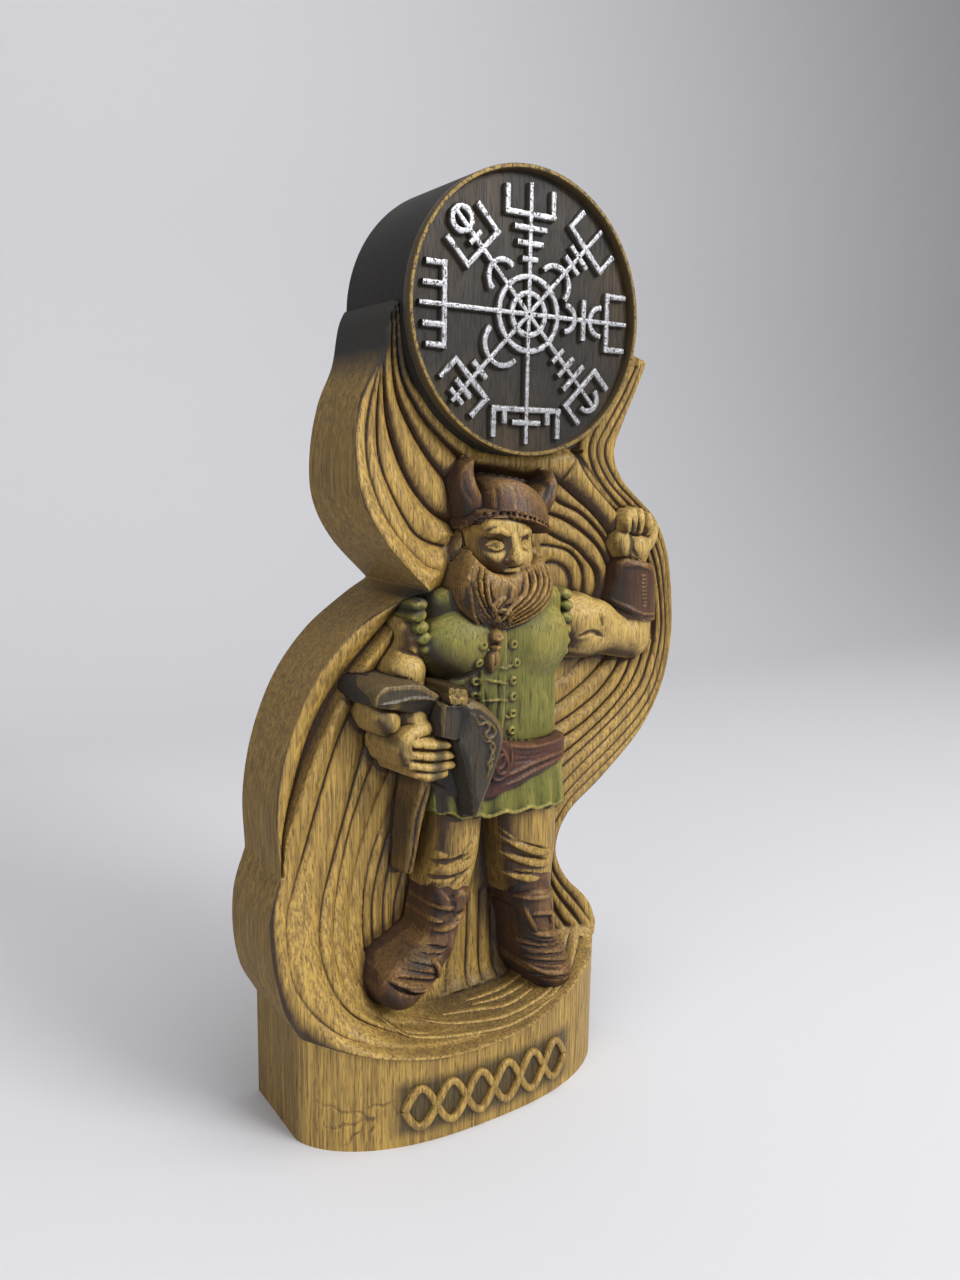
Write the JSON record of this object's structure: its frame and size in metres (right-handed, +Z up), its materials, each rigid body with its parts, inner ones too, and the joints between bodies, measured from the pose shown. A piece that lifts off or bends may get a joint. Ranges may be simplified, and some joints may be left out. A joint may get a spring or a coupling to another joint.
{
  "type": "carved dwarf figurine",
  "caption": "Carved wooden relief of a horned dwarf with an axe on a bowed plinth, before a flowing mantle, crowned by a round medallion with a compass stave.",
  "frame": {"origin": "middle of the footprint of the whole carving, on the plane that the plinth stands on", "axes": "+Z up, -Y towards the viewer of the relief, +Y out of the flat back, +X to the viewer's right"},
  "size_m": [0.1556, 0.0572, 0.2971],
  "materials": {
    "varnished_wood": "golden stained wood under satin varnish",
    "dark_stained_wood": "dark stained wood under satin varnish",
    "black_paint": "matt black paint on wood",
    "gold_paint": "worn golden paint on wood",
    "silver_leaf": "silver leaf on wood, worn at the edges",
    "brown_stain": "leather-brown stain under satin varnish",
    "graphite_paint": "dark graphite paint on wood",
    "green_stain": "yellow-green stain under satin varnish",
    "ochre_stain": "light ochre stain under satin varnish",
    "oxblood_stain": "oxblood stain under satin varnish",
    "hair_stain": "brown stain rubbed back on the strands"
  },
  "bodies": {
    "root": {"mantle": "varnished_wood", "plinth": "varnished_wood", "plinth_ornament": "varnished_wood", "right_trouser_leg": "varnished_wood", "left_trouser_leg": "varnished_wood", "hair_pin": "varnished_wood", "axe_haft": "dark_stained_wood", "medallion_drum": "black_paint", "medallion_rim": "gold_paint", "axe_knob": "gold_paint", "compass_stave": "silver_leaf", "helmet": "brown_stain", "helmet_band": "brown_stain", "right_horn": "brown_stain", "left_horn": "brown_stain", "left_bracer": "brown_stain", "right_boot": "brown_stain", "left_boot": "brown_stain", "right_boot_cuff": "brown_stain", "left_boot_cuff": "brown_stain", "axe_front_blade": "graphite_paint", "axe_rear_blade": "graphite_paint", "axe_socket": "graphite_paint", "tunic": "green_stain", "skirt": "green_stain", "right_armhole_fringe": "green_stain", "left_armhole_fringe": "green_stain", "head": "ochre_stain", "right_upper_arm": "ochre_stain", "right_forearm": "ochre_stain", "right_fist": "ochre_stain", "left_upper_arm": "ochre_stain", "left_forearm": "ochre_stain", "left_hand": "ochre_stain", "belt": "oxblood_stain", "belt_buckle": "oxblood_stain", "hair": "hair_stain", "beard": "hair_stain", "beard_braid": "hair_stain"}
  },
  "joints": []
}
